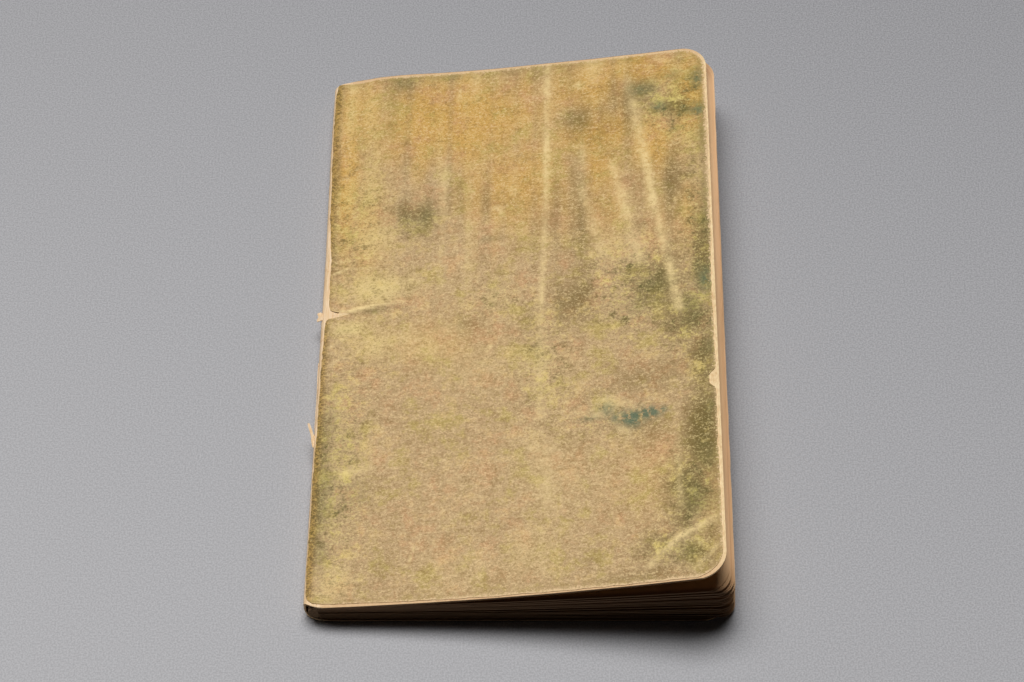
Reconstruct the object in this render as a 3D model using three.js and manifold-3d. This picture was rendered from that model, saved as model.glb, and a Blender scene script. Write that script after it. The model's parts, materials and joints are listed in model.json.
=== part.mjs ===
// A pocket notebook lying closed: one sewn section of twelve folded sheets in a flexible wrap-around cover.
// Millimetres. +Z is up, the spine runs along Y at low X, the fore-edge is at high X, the tail at low Y.
// Shapes are drawn from the fold's axis: "s" is the distance towards the fore-edge, "level" the height at s = 0.

import * as THREE from 'three';
import { mergeVertices } from 'three/addons/utils/BufferGeometryUtils.js';
import Module from 'manifold-3d';

const wasm = await Module();
wasm.setup();

// Cover: three bonded layers with a hair of glue between them
const COVER_HEIGHT = 146;
// Seen from above the front cover reaches less far, because it stands up in a curve
const COVER_REACH = { front: 86, back: 87.2 };
const COVER_CORNER = 6;
const PANEL_START = 7;
const LAYER_GAP = 0.03;
const COVERING = 0.14;
const CARD = 0.4;
const LINING = 0.1;
const COVER_INSIDE = 2.3;

// How far the closed front cover stands up at its fore-edge, and how much of that is curl, at tail and head
const COVER_RISE = { tail: 13.64, head: 12.54 };
const COVER_CURL = { tail: 6.92, head: 2.12 };

// Folded sheets
const SHEETS = 12;
const PAPER = 0.13;
const SHEET_PITCH = 0.175;
const INNERMOST = 0.28;
const LEAF_HEIGHT = 145.4;
const LEAF_REACH = { top: 87.8, bottom: 88.4 };
// The outermost sheet has rounder corners than the others
const LEAF_CORNER = { outermost: 5.5, other: 3.5 };
const LEAF_START = 0.05;
// Opening at the fore-edge between each leaf and the next one down, from the top leaf to the bottom one
const LEAF_OPENINGS = [
  0.12, 0.78, 0.1, 0.58, 0.12, 0.1, 1.0, 0.1, 0.36, 0.12, 0.62, 0.15,
  0.1, 0.88, 0.12, 0.1, 0.46, 0.1, 0.12, 0.62, 0.1, 0.26, 0.15,
];
const BOTTOM_LEAF_RISE = 0.25;
// The leaves stand up closer to the cover at the head than at the tail
const HEAD_SPREAD = 1.48;

// The spine's wrap bulges past a half circle, which leaves room for the thread outside the sheets
const SPINE_BULGE = 0.45;
const ARC_STEPS = 12;

// Sewing
const THREAD_RADIUS = 0.16;
const THREAD_SIDES = 8;
const STITCH_SPACING = 44;
const SEWING_HOLE = 0.6;
const STITCHES = [-STITCH_SPACING, 0, STITCH_SPACING];

// The fold's axis is a line along Y. It is placed so that the notebook stands on Z = 0, centred in X and Y.
const FOLD_Z = COVER_INSIDE + LINING + CARD + COVERING + 2 * LAYER_GAP;
const FOLD_X = (FOLD_Z + SPINE_BULGE - LEAF_REACH.bottom) / 2;

const COLOURS = {
  covering: '#a98c4e',
  card: '#d8bf94',
  lining: '#bfa37a',
  paper: '#cda982',
  thread: '#c9b78f',
};

function material(name, colour) {
  const made = new THREE.MeshStandardMaterial({ color: colour, roughness: 0.85, metalness: 0 });
  made.name = name;
  return made;
}

const MATERIALS = Object.fromEntries(Object.entries(COLOURS).map(([name, colour]) => [name, material(name, colour)]));

function mesh(name, geometry, slot) {
  const made = new THREE.Mesh(geometry, MATERIALS[slot]);
  made.name = name;
  return made;
}

// A closed band along Y. Each station gives four points: inner at the tail, inner at the head, outer at the
// head, outer at the tail. Both faces are split along the same diagonal, so stacked bands stay parallel.
function band(stations) {
  const index = [0, 2, 1, 0, 3, 2];
  for (let i = 0; i + 1 < stations.length; i += 1) {
    const [innerTail, innerHead, outerHead, outerTail] = [0, 1, 2, 3].map((corner) => 4 * i + corner);
    const [nextInnerTail, nextInnerHead, nextOuterHead, nextOuterTail] = [4, 5, 6, 7].map((corner) => 4 * i + corner);
    index.push(innerTail, innerHead, nextInnerHead, innerTail, nextInnerHead, nextInnerTail);
    index.push(outerHead, outerTail, nextOuterHead, outerTail, nextOuterTail, nextOuterHead);
    index.push(innerHead, outerHead, nextOuterHead, innerHead, nextOuterHead, nextInnerHead);
    index.push(outerTail, innerTail, nextInnerTail, outerTail, nextInnerTail, nextOuterTail);
  }
  const last = 4 * (stations.length - 1);
  index.push(last, last + 1, last + 2, last, last + 2, last + 3);
  return closedGeometry(stations.flat(2), index);
}

function closedGeometry(positions, index) {
  const geometry = new THREE.BufferGeometry();
  geometry.setAttribute('position', new THREE.Float32BufferAttribute(positions, 3));
  geometry.setIndex(index);
  geometry.computeVertexNormals();
  return geometry;
}

// Height of a leaf or cover above its level at the fold, at distance s and width y
function lift(shape, s, y) {
  const u = s / COVER_REACH.front;
  const head = y / COVER_HEIGHT + 0.5;
  const rise = shape.rise.tail + (shape.rise.head - shape.rise.tail) * head;
  const curl = shape.curl.tail + (shape.curl.head - shape.curl.tail) * head;
  return (rise - curl) * u + curl * u * u;
}

// How much a rounded corner takes off the height at distance s
function cornerInset(s, reach, radius) {
  const into = s - (reach - radius);
  return into <= 0 ? 0 : radius - Math.sqrt(Math.max(0, radius * radius - into * into));
}

function stationsAlong(start, reach, radius) {
  const distances = [];
  const straight = 6;
  for (let i = 0; i <= straight; i += 1) {
    distances.push(start + ((reach - radius - start) * i) / straight);
  }
  const round = 5;
  for (let i = 1; i <= round; i += 1) {
    const angle = (Math.PI / 2) * (i / round);
    distances.push(reach - radius + radius * Math.sin(angle));
  }
  return distances;
}

function sheetStation(shape, s, half, bottom, top) {
  const point = (y, level) => [s, y, level + lift(shape, s, y)];
  return [point(-half, bottom), point(half, bottom), point(half, top), point(-half, top)];
}

// A thin sheet with rounded fore-edge corners, from level "bottom" to level "top" at the fold
function sheet({ shape, start, reach, height, radius, bottom, top }) {
  const stations = stationsAlong(start, reach, radius).map((s) => {
    const half = height / 2 - cornerInset(s, reach, radius);
    return sheetStation(shape, s, half, bottom, top);
  });
  return band(stations);
}

// The leaves' share of the cover's rise and curl
function leafShape(leaf) {
  const below = LEAF_OPENINGS.slice(leaf).reduce((sum, opening) => sum + opening, 0);
  const share = (BOTTOM_LEAF_RISE + below) / COVER_RISE.tail;
  const scaled = (pair) => ({ tail: pair.tail * share, head: pair.head * share * HEAD_SPREAD });
  return { rise: scaled(COVER_RISE), curl: scaled(COVER_CURL) };
}

const FLAT = { rise: { tail: 0, head: 0 }, curl: { tail: 0, head: 0 } };
const RAISED = { rise: COVER_RISE, curl: COVER_CURL };

// Sheet 1 is the outermost
function sheetLevel(number) {
  return INNERMOST + (SHEETS - number) * SHEET_PITCH;
}

function leaf(number, isFront) {
  const level = sheetLevel(number) * (isFront ? 1 : -1);
  const place = isFront ? number - 1 : 2 * SHEETS - number;
  const down = place / (2 * SHEETS - 1);
  return sheet({
    shape: leafShape(place),
    start: LEAF_START,
    reach: LEAF_REACH.top + (LEAF_REACH.bottom - LEAF_REACH.top) * down,
    height: LEAF_HEIGHT,
    radius: number === 1 ? LEAF_CORNER.outermost : LEAF_CORNER.other,
    bottom: level - PAPER / 2,
    top: level + PAPER / 2,
  });
}

function toSolid(geometry) {
  const bare = geometry.clone();
  bare.deleteAttribute('normal');
  bare.deleteAttribute('uv');
  const merged = mergeVertices(bare);
  const vertProperties = new Float32Array(merged.attributes.position.array);
  const triVerts = new Uint32Array(merged.index.array);
  return new wasm.Manifold(new wasm.Mesh({ numProp: 3, vertProperties, triVerts }));
}

function toGeometry(solid) {
  const { vertProperties, triVerts } = solid.getMesh();
  return closedGeometry(Array.from(vertProperties), Array.from(triVerts));
}

// The half round where a sheet turns from its rear leaf to its front leaf, with its sewing holes
function fold(number) {
  const radius = sheetLevel(number);
  const outline = new THREE.Shape();
  outline.absarc(0, 0, radius + PAPER / 2, Math.PI / 2, (3 * Math.PI) / 2);
  outline.absarc(0, 0, radius - PAPER / 2, (3 * Math.PI) / 2, Math.PI / 2, true);
  const strip = new THREE.ExtrudeGeometry(outline, {
    depth: LEAF_HEIGHT,
    bevelEnabled: false,
    curveSegments: ARC_STEPS,
  });
  strip.rotateX(Math.PI / 2).translate(0, LEAF_HEIGHT / 2, 0);
  let punched = toSolid(strip);
  for (const y of STITCHES) {
    const punch = new THREE.BoxGeometry(COVER_INSIDE, SEWING_HOLE, SEWING_HOLE);
    punch.translate(-(COVER_INSIDE + INNERMOST) / 2, y, 0);
    punched = punched.subtract(toSolid(punch));
  }
  return toGeometry(punched);
}

// One layer of the wrap: a leg on the back panel's level, round the fold, and a leg on the front cover's level
function spineLayer(inner, thickness) {
  const stations = [];
  const half = COVER_HEIGHT / 2;
  const outer = inner + thickness;
  const legSteps = 3;
  const legEnd = PANEL_START - LEAF_START;
  for (let i = legSteps; i > 0; i -= 1) {
    stations.push(sheetStation(FLAT, (legEnd * i) / legSteps, half, -inner, -outer));
  }
  for (let i = 0; i <= ARC_STEPS; i += 1) {
    const angle = -Math.PI / 2 - (Math.PI * i) / ARC_STEPS;
    const bulge = SPINE_BULGE * Math.cos(angle) ** 2;
    const at = (y, r) => [(r + bulge) * Math.cos(angle), y, (r + bulge) * Math.sin(angle)];
    stations.push([at(-half, inner), at(half, inner), at(half, outer), at(-half, outer)]);
  }
  for (let i = 1; i <= legSteps; i += 1) {
    stations.push(sheetStation(RAISED, (legEnd * i) / legSteps, half, inner, outer));
  }
  return band(stations);
}

function panel(shape, reach, bottom, top) {
  return sheet({
    shape,
    start: PANEL_START,
    reach,
    height: COVER_HEIGHT,
    radius: COVER_CORNER,
    bottom,
    top,
  });
}

function coverPieces() {
  const pieces = [];
  let inner = COVER_INSIDE;
  for (const [layer, thickness] of [['lining', LINING], ['card', CARD], ['covering', COVERING]]) {
    const outer = inner + thickness;
    pieces.push(mesh(`front_${layer}`, panel(RAISED, COVER_REACH.front, inner, outer), layer));
    pieces.push(mesh(`back_${layer}`, panel(FLAT, COVER_REACH.back, -outer, -inner), layer));
    pieces.push(mesh(`spine_${layer}`, spineLayer(inner, thickness), layer));
    inner = outer + LAYER_GAP;
  }
  return pieces;
}

// One closed stitch: along the middle of the section, out through the end holes, back along the outside, and
// through the middle hole
function thread() {
  const outside = sheetLevel(1) + PAPER / 2 + THREAD_RADIUS + LAYER_GAP;
  const runLength = 2 * STITCH_SPACING + 2 * THREAD_RADIUS;
  const run = new THREE.CylinderGeometry(THREAD_RADIUS, THREAD_RADIUS, runLength, THREAD_SIDES);
  const crossing = new THREE.CylinderGeometry(THREAD_RADIUS, THREAD_RADIUS, outside, THREAD_SIDES);
  crossing.rotateZ(Math.PI / 2).translate(-outside / 2, 0, 0);
  let stitch = toSolid(run).add(toSolid(run.clone().translate(-outside, 0, 0)));
  for (const y of STITCHES) {
    stitch = stitch.add(toSolid(crossing.clone().translate(0, y, 0)));
  }
  return toGeometry(stitch);
}

function sheetPieces() {
  const pieces = [];
  for (let number = 1; number <= SHEETS; number += 1) {
    const label = String(number).padStart(2, '0');
    pieces.push(mesh(`rear_leaf_${label}`, leaf(number, false), 'paper'));
    pieces.push(mesh(`fold_${label}`, fold(number), 'paper'));
    pieces.push(mesh(`front_leaf_${label}`, leaf(number, true), 'paper'));
  }
  return pieces;
}

function notebook() {
  const onFold = new THREE.Group();
  onFold.position.set(FOLD_X, 0, FOLD_Z);
  onFold.add(...coverPieces(), ...sheetPieces(), mesh('sewing_thread', thread(), 'thread'));
  const group = new THREE.Group();
  group.name = 'pocket_notebook';
  group.add(onFold);
  return group;
}

export default notebook();
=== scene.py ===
"""A worn pocket notebook lying closed on a pale floor.

Shapes are worked out in millimetres from the fold's axis: s runs to the fore-edge, y from tail to head, h up.
The skin is the thin coloured covering over the card."""

import json
import math

import bpy
import numpy as np
from mathutils import Matrix, Vector, noise

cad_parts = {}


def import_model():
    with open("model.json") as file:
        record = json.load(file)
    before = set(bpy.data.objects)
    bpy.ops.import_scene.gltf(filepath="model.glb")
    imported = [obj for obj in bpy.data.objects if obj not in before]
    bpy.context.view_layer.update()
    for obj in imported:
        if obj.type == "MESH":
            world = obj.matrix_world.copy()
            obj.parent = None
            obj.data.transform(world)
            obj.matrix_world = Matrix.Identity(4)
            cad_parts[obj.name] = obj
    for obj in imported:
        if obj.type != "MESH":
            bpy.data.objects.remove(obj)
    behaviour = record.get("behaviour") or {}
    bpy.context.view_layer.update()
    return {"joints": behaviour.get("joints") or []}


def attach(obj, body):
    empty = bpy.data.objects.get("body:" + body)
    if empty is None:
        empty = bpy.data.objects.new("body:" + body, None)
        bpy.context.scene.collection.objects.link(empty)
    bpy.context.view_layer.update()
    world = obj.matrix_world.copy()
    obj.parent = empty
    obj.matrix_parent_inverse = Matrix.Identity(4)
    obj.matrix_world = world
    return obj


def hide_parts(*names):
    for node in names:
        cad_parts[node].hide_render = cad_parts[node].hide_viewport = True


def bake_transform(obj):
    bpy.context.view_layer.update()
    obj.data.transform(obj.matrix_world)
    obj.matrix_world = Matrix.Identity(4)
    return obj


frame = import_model()
MM = 0.001

JOINTS = {joint["name"]: joint for joint in frame["joints"]}
FOLD = Vector(JOINTS["open_at_middle"]["pos_m"])
HINGE = Vector(JOINTS["front_cover_hinge"]["pos_m"])
HINGE_S = (HINGE.x - FOLD.x) / MM

# Cover
COVER_HALF = 73.0
COVER_REACH = 86.0
VISIBLE_REACH = 85.8
BACK_REACH = 87.2
COVER_CORNER = 6.0
SPINE_CORNER = 2.6
LINING_INNER = 2.3
CARD_INNER = 2.4
SKIN_INNER = 2.84
SKIN_OUTER = 3.0
SPINE_BULGE = 0.45
COVER_RISE = (13.64, 12.54)
COVER_CURL = (6.92, 2.12)
HEAD_PUFF = 0.9
HEAD_BULGE = 0.35
# How far the skin still reaches round the spine, from tail to head: (y, distance past the fold's axis). It is
# below zero where the skin is torn away on the flat of the cover
SKIN_EDGE_AT_SPINE = [
    (-73, 1.0), (-72.0, 2.1), (-70.8, 2.7), (-67, 2.9), (-35, 2.75), (-28, 2.55), (-15, 2.5), (-4, 2.35),
    (1.4, 2.2), (2.2, 1.5), (2.7, -0.8), (3.0, -3.0), (3.3, -3.6), (3.7, -1.2), (4.1, 1.2), (6.5, 1.6),
    (20, 1.8), (32, 2.5), (60, 2.85), (70, 2.7), (73, 2.2),
]

# Leaves
SHEETS = 12
LEAVES = 2 * SHEETS
PAPER = 0.13
SHEET_PITCH = 0.175
INNERMOST = 0.28
LEAF_HALF = 72.7
LEAF_START = 0.02
LEAF_REACH_TOP = 87.8
LEAF_REACH_BOTTOM = 88.4
OUTERMOST_CORNER = 5.5
LEAF_CORNER = 3.5
HEAD_CORNER_EXTRA = 2.6
HEAD_SPREAD = 1.48
# How much shorter the topmost leaves are at the tail of the fore-edge. It fades out towards the head
TOP_LEAVES_SHORT = (1.0, 0.85, 0.25, 0.3, 0.0)
BOTTOM_LEAF_RISE = 0.25
LEAF_OPENINGS = [
    0.12, 0.78, 0.1, 0.58, 0.12, 0.1, 1.0, 0.1, 0.36, 0.12, 0.62, 0.15,
    0.1, 0.88, 0.12, 0.1, 0.46, 0.1, 0.12, 0.62, 0.1, 0.26, 0.15,
]

# Sewing: the stitch runs this far to each side of the middle of the fold
STITCH_REACH = 44.0
THREAD_RADIUS = 0.16
THREAD_SIDES = 10

# Steps of the grids: along the path from spine to fore-edge, and from tail to head
SKIN_STEP = 0.6
BOARD_ROW_STEP = 1.2
BACK_STEP = 1.2
BACK_ROWS = 123
SPINE_ROWS = 244
LEAF_STEP = 4.0
LEAF_ROWS = 61
FOLD_ROWS = 41

# Lengths over which an uneven edge fades into the even grid
REACH_FADE = 14
SPINE_FADE = 5
LEAF_FADE = 10

# Camera: place from the fold's axis in millimetres, angles in degrees, lens and sensor in millimetres
CAMERA_FROM_FOLD = (54.26, -345.5, 487.17)
CAMERA_DOWN = 54.80
CAMERA_TURN = -2.34
CAMERA_ROLL = 2.10
CAMERA_LENS = 92.25
CAMERA_SENSOR = 36.0


# ---------------------------------------------------------------- shape helpers


def wobble(x, y, seed, size):
    """Smooth noise from about -1 to 1 at a point, with features of the given size in millimetres."""
    return noise.noise(Vector((x / size, y / size, seed * 7.31)))


def wobble_grid(s, y, seed, size):
    flat = [wobble(a, b, seed, size) for a, b in zip(np.ravel(s), np.ravel(y))]
    return np.array(flat).reshape(np.shape(s))


def between(pair, y, half=COVER_HALF):
    """A value given at the tail and at the head, at each y."""
    return pair[0] + (pair[1] - pair[0]) * (np.asarray(y) / half + 1) / 2


def cover_lift(s, y):
    """How far the closed front cover stands above its level at the fold."""
    u = np.clip(np.asarray(s, float), 0, None) / COVER_REACH
    rise = between(COVER_RISE, y)
    curl = between(COVER_CURL, y)
    puff = HEAD_PUFF * np.exp(-(((s - 11) / 13) ** 2)) * np.clip(np.asarray(y) / COVER_HALF, 0, 1) ** 3
    return (rise - curl) * u + curl * u * u + puff * np.clip(u * 12, 0, 1)


def corner_inset(s, reach, radius):
    into = np.clip(np.asarray(s, float) - (reach - radius), 0, radius)
    return radius - np.sqrt(np.maximum(radius * radius - into * into, 0))


def sheet_stops(start, reach, radius, step):
    """Distances from the spine to the fore-edge, closer together round the corner."""
    straight = np.linspace(start, reach - radius, max(2, round((reach - radius - start) / step)))
    round_steps = 12
    angles = np.linspace(0, math.pi / 2, round_steps + 1)[1:]
    return np.concatenate([straight, reach - radius + radius * np.sin(angles)])


def linked(name, data):
    made = bpy.data.objects.new(name, data)
    bpy.context.scene.collection.objects.link(made)
    return made


def smooth_piece(name, points, faces):
    """A smooth-shaded piece from points in metres."""
    mesh = bpy.data.meshes.new(name)
    mesh.from_pydata(points, [], faces)
    mesh.update()
    mesh.polygons.foreach_set("use_smooth", [True] * len(mesh.polygons))
    return linked(name, mesh)


def even_grid(stops, rows):
    """The stops, each with rows that run from -1 at the tail to 1 at the head."""
    return np.meshgrid(stops, np.linspace(-1, 1, rows), indexing="ij")


def closed_sheet(name, lower, upper):
    """A closed mesh between two grids of points in millimetres, each of shape (n, m, 3)."""
    n, m, _ = upper.shape
    count = n * m
    points = np.concatenate([upper.reshape(-1, 3), lower.reshape(-1, 3)])
    points = points * MM + np.array([FOLD.x, 0, FOLD.z])
    i, j = np.meshgrid(np.arange(n - 1), np.arange(m - 1), indexing="ij")
    corner = (i * m + j).ravel()
    top = np.stack([corner, corner + m, corner + m + 1, corner + 1], axis=1)
    bottom = top[:, ::-1] + count
    rim = np.concatenate(
        [
            np.arange(0, count - m, m),
            np.arange(count - m, count - 1),
            np.arange(count - 1, m - 1, -m),
            np.arange(m - 1, 0, -1),
        ]
    )
    after = np.roll(rim, -1)
    walls = np.stack([rim, rim + count, after + count, after], axis=1)
    faces = np.concatenate([top, bottom, walls])
    piece = smooth_piece(name, points.tolist(), faces.tolist())
    mark_rim_sharp(piece.data, set(rim.tolist()) | set((rim + count).tolist()), count)
    return piece


def mark_rim_sharp(mesh, rim, count):
    """Edges that run along the rim of either face are sharp, so the edge of a thin sheet stays crisp."""
    sharp = mesh.attributes.new("sharp_edge", "BOOLEAN", "EDGE")
    ends = np.zeros(len(mesh.edges) * 2, np.int32)
    mesh.edges.foreach_get("vertices", ends)
    ends = ends.reshape(-1, 2)
    on_rim = np.isin(ends, np.array(sorted(rim))).all(axis=1)
    same_face = (ends[:, 0] < count) == (ends[:, 1] < count)
    wall = wall_edges(mesh, count)
    sharp.data.foreach_set("value", on_rim & same_face & wall)


def wall_edges(mesh, count):
    """True for each edge that borders one of the side walls."""
    borders = np.zeros(len(mesh.edges), bool)
    loop_edges = np.zeros(len(mesh.loops), np.int32)
    loop_points = np.zeros(len(mesh.loops), np.int32)
    mesh.loops.foreach_get("edge_index", loop_edges)
    mesh.loops.foreach_get("vertex_index", loop_points)
    loop_edges = loop_edges.reshape(-1, 4)
    loop_points = loop_points.reshape(-1, 4)
    is_wall = (loop_points < count).any(axis=1) & (loop_points >= count).any(axis=1)
    borders[loop_edges[is_wall].ravel()] = True
    return borders


def keep(piece, name, values):
    """Stores a number, or a vector, on each point of the piece for its material to read."""
    values = np.asarray(values, float)
    kind = "FLOAT_VECTOR" if values.ndim == 2 else "FLOAT"
    attribute = piece.data.attributes.new(name, kind, "POINT")
    attribute.data.foreach_set("vector" if values.ndim == 2 else "value", values.ravel())


def keep_rest(piece):
    """Stores the place of each point in the closed notebook, in millimetres."""
    co = np.zeros(len(piece.data.vertices) * 3)
    piece.data.vertices.foreach_get("co", co)
    co = co.reshape(-1, 3) - np.array([FOLD.x, 0, FOLD.z])
    keep(piece, "rest", co / MM)


def dress(piece, material):
    piece.data.materials.append(material)
    keep_rest(piece)


# ---------------------------------------------------------------- marks on the front cover


def line_mark(s, y, start, end, width, seed, patchiness):
    """A soft streak from start to end, broken up along its length."""
    a = np.array(start, float)
    d = np.array(end, float) - a
    length = np.hypot(*d)
    t = np.clip(((s - a[0]) * d[0] + (y - a[1]) * d[1]) / length**2, 0, 1)
    away = np.hypot(s - (a[0] + t * d[0]), y - (a[1] + t * d[1]))
    along = t * length
    patch = 1 + patchiness * (1.6 * wobble_grid(along, 0 * along, seed, 6.0) - 0.4)
    return np.clip(patch, 0, None) * np.exp(-((away / width) ** 2))


def blot(s, y, centre, size, seed):
    """A soft stain with an uneven outline."""
    ds = (s - centre[0]) / size[0]
    dy = (y - centre[1]) / size[1]
    uneven = 0.5 * wobble_grid(s, y, seed, 4.0)
    return np.exp(-(ds * ds + dy * dy) * (1 + uneven))


# Rubbed lines on the front cover: (start, end, width, strength)
RUBS = [
    ((48.1, 72), (48, 38), 0.78, 0.85),
    ((48.2, 42), (47, 2), 0.68, 0.72),
    ((47, 4), (46.7, -29), 0.9, 0.4),
    ((48, -38), (48.6, -52), 1.6, 0.35),
    ((65.8, 72), (68.5, 56), 1.3, 0.45),
    ((68.3, 58), (71, 40), 1.15, 0.8),
    ((70.8, 42), (72.6, 27), 1.1, 1),
    ((72.4, 29), (74.8, 14), 1, 1),
    ((74.6, 16), (77.6, -3), 1.05, 0.95),
    ((63.2, 40), (65.4, 30), 0.9, 0.65),
    ((65.2, 31), (69.2, 11), 1.4, 0.6),
    ((56.3, 46), (56.4, 31), 0.9, 0.5),
    ((57, 30), (61, 14), 1.1, 0.4),
    ((24.1, 46), (24.2, 30), 0.8, 0.5),
    ((24, 25), (24, 6), 0.8, 0.3),
    ((30, 40), (29.8, 8), 0.8, 0.3),
    ((40.2, 46), (40.4, 34), 0.8, 0.3),
    ((31, 72), (31, 64), 1, 0.4),
    ((58.8, 72.6), (59.2, 66), 1.6, 0.55),
    ((74.2, 70.8), (77, 69.2), 0.6, 0.6),
    ((16, -4), (28, -3), 1.6, 0.3),
    ((27, 64.4), (27.2, 67), 0.45, 0.8),
    ((55.4, 64.3), (55.4, 65.6), 0.35, 1),
    ((0, 3.3), (9, 5), 0.55, 1.3),
    ((9, 5), (15.5, 5.6), 0.45, 0.8),
    ((-1, 14.6), (2.4, 16.1), 0.22, 1),
    ((2.4, 16.1), (7.4, 16.2), 0.22, 0.8),
    ((-1.6, -6.6), (2.3, -3.7), 0.24, 1),
    ((0.4, -10.2), (3.4, -7.6), 0.25, 0.6),
    ((18.8, -64.2), (20.3, -58.4), 0.22, 0.8),
    ((35.7, 30.4), (37.4, 29.9), 0.55, 1),
    ((37.2, 30.2), (37.5, 28.2), 0.5, 1),
    ((34.9, -9.9), (35.5, -8.8), 0.4, 1),
    ((45.6, -36.4), (49.2, -36.8), 1.1, 0.6),
    ((3, -40), (9, -38.6), 1.2, 0.5),
    ((70, -68.4), (76.2, -62.6), 0.8, 0.85),
    ((76.2, -62.6), (83.6, -58.8), 0.8, 0.85),
    ((79.4, -70.4), (84, -65.6), 0.6, 0.7),
    ((76.4, -40), (76.8, -55), 0.7, 0.45),
    ((60.5, -25.4), (66.5, -27.6), 1.1, 0.75),
    ((64, -33.6), (66, -35), 0.8, 0.5),
    ((54, -28.2), (60, -29.6), 0.8, 0.4),
]

# Stains on the front cover, with one painted shadow below a crease: (centre, size, strength)
GREY_STAINS = [
    ((18.6, 29.6), (3.8, 4.2), 0.62),
    ((14.5, 31.5), (3.4, 3.6), 0.4),
    ((13.4, 70.6), (2.8, 2.2), 0.6),
    ((25, 71.4), (4, 1.4), 0.45),
    ((35, 21.6), (2.4, 0.8), 0.5),
    ((55.6, 54.6), (4.4, 1.9), 0.1),
    ((70.6, 62.4), (4, 2.8), 0.62),
    ((77, 65), (3.6, 1.3), 0.65),
    ((83.2, 63.6), (1.8, 3.4), 0.95),
    ((75.2, 56), (2.6, 1.9), 0.68),
    ((81.4, 53.6), (3.4, 2.2), 0.8),
    ((84, 46), (1.5, 6), 0.55),
    ((72, 4), (4, 2.6), 0.6),
    ((70, -1), (6, 3), 0.4),
    ((83, 4), (2, 4.4), 1),
    ((80.4, -3.4), (2.8, 5), 0.75),
    ((84, 24), (1.5, 9), 0.55),
    ((84, -14), (1.6, 3.2), 0.7),
    ((84.2, -31), (1.6, 4), 0.7),
    ((82.6, -43), (2.4, 5), 0.6),
    ((80.2, -53.6), (3.4, 5.4), 0.75),
    ((78, -66), (2.6, 2.4), 0.5),
    # Painted shadow in the groove below the crease ridge near the spine
    ((9, 3.6), (2.8, 1), 0.6),
    ((2, -1.4), (3, 1), 0.25),
    ((0.4, -26), (1.6, 6), 0.55),
    ((0.2, -46), (1.8, 9), 0.7),
    ((0, -60), (1.6, 5), 0.55),
    ((6, -45), (4, 4), 0.35),
    ((3, -32), (3, 3), 0.3),
]

BLUE_STAINS = [
    ((66.8, -31.2), (2.9, 2.2), 1.3),
    ((70.6, -30.4), (2.9, 1.5), 1.3),
    ((73.2, -30), (1.2, 0.8), 1),
    ((61.4, -28.4), (1.8, 2.2), 0.7),
    ((63.4, -30.8), (1.3, 1.3), 0.8),
    ((57.6, -30.2), (2.6, 1), 0.45),
    ((83.4, 53.2), (1.6, 2), 0.8),
    ((74.4, 55.6), (1.5, 1.3), 0.62),
    ((83.6, 62.6), (1.3, 2.6), 0.7),
    ((70.4, 61.4), (2.6, 1.8), 0.42),
    ((83.8, 3.4), (1.3, 2.8), 0.7),
]


def stained(s, y, stains, seed):
    found = np.zeros_like(s)
    for number, (centre, size, strength) in enumerate(stains):
        found = np.maximum(found, strength * blot(s, y, centre, size, seed + number))
    return found


def cover_marks(s, y):
    """Rubbing, grey-green stain with a painted shadow below one crease, and blue-green stain at each point of
    the front cover.
    """
    rub = np.zeros_like(s)
    for number, (start, end, width, strength) in enumerate(RUBS):
        patchiness = 0.15 if width < 0.5 else 0.5
        rub = np.maximum(rub, strength * line_mark(s, y, start, end, width, 11 + number, patchiness))
    grey = stained(s, y, GREY_STAINS, 41)
    blue = stained(s, y, BLUE_STAINS, 71)
    return np.stack([rub.ravel(), grey.ravel(), blue.ravel()], axis=1)


# Broad changes of colour on the front cover: (centre, size, strength)
WARM_AREAS = [
    ((26, 58), (26, 16), 1),
    ((3, 62), (8, 16), 0.9),
    ((58, 64), (10, 12), 0.9),
    ((72, 44), (9, 12), 0.9),
    ((42, 38), (20, 16), 0.7),
    ((60, 28), (14, 12), 0.6),
    ((4, 30), (8, 24), 0.6),
    ((78, 24), (8, 12), 0.5),
    ((22, -6), (16, 8), 0.4),
    ((72, -46), (12, 14), 0.35),
    ((60, 50), (12, 9), 1),
    ((70, 68), (12, 6), 1),
    ((82, 58), (6, 16), 1),
    ((1, 45), (4, 30), 1),
    ((83, -52), (4, 20), 0.4),
    ((60, 40), (6, 12), 0.9),
]
PALE_AREAS = [
    ((3, 62), (6.5, 14), 0.5),
    ((5, 38), (6, 14), 0.45),
    ((8, 24), (8, 6), 0.55),
    ((10, 10), (12, 5), 0.75),
    ((3, -1), (6, 2.4), 1),
    ((11, -6), (9, 5), 0.55),
    ((26, 15), (8, 7), 0.25),
    ((37, 4), (6, 5), 0.35),
    ((22, -8), (7, 4), 0.4),
    ((65, 14), (6, 6), 0.6),
    ((65, 1), (4, 5), 0.45),
    ((33, -15), (10, 8), 0.3),
    ((50, -14), (10, 7), 0.3),
    ((62, -27), (4, 2.5), 0.8),
    ((7, -38), (8, 5), 0.3),
    ((48, -44), (18, 14), 0.3),
    ((3, -67), (6, 5), 0.55),
    ((34, -66), (16, 8), 0.25),
    ((46, -62), (8, 8), 0.4),
    ((76, 46), (5, 5), 0.25),
    ((60, 70), (4, 4), 0.5),
    ((2.5, -30), (2.5, 40), 0.25),
    ((81.5, -58), (3, 3), 0.35),
    ((22.5, 42), (1.6, 22), 0.45),
    ((7, 3), (4, 3), 0.45),
    ((70, 6), (3, 3), 0.5),
    ((78, -6), (3, 3), 0.35),
    ((76, -54), (3.5, 3), 0.35),
    ((83, 57), (2, 8), 0.35),
    ((1, 20), (1.5, 60), 0.2),
    ((3, 8), (4, 3), 0.5),
    ((10, 2), (3, 2.5), 0.4),
    ((1, 71), (3, 3), 0.7),
    ((1, -71), (3, 2), 0.7),
]
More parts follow.
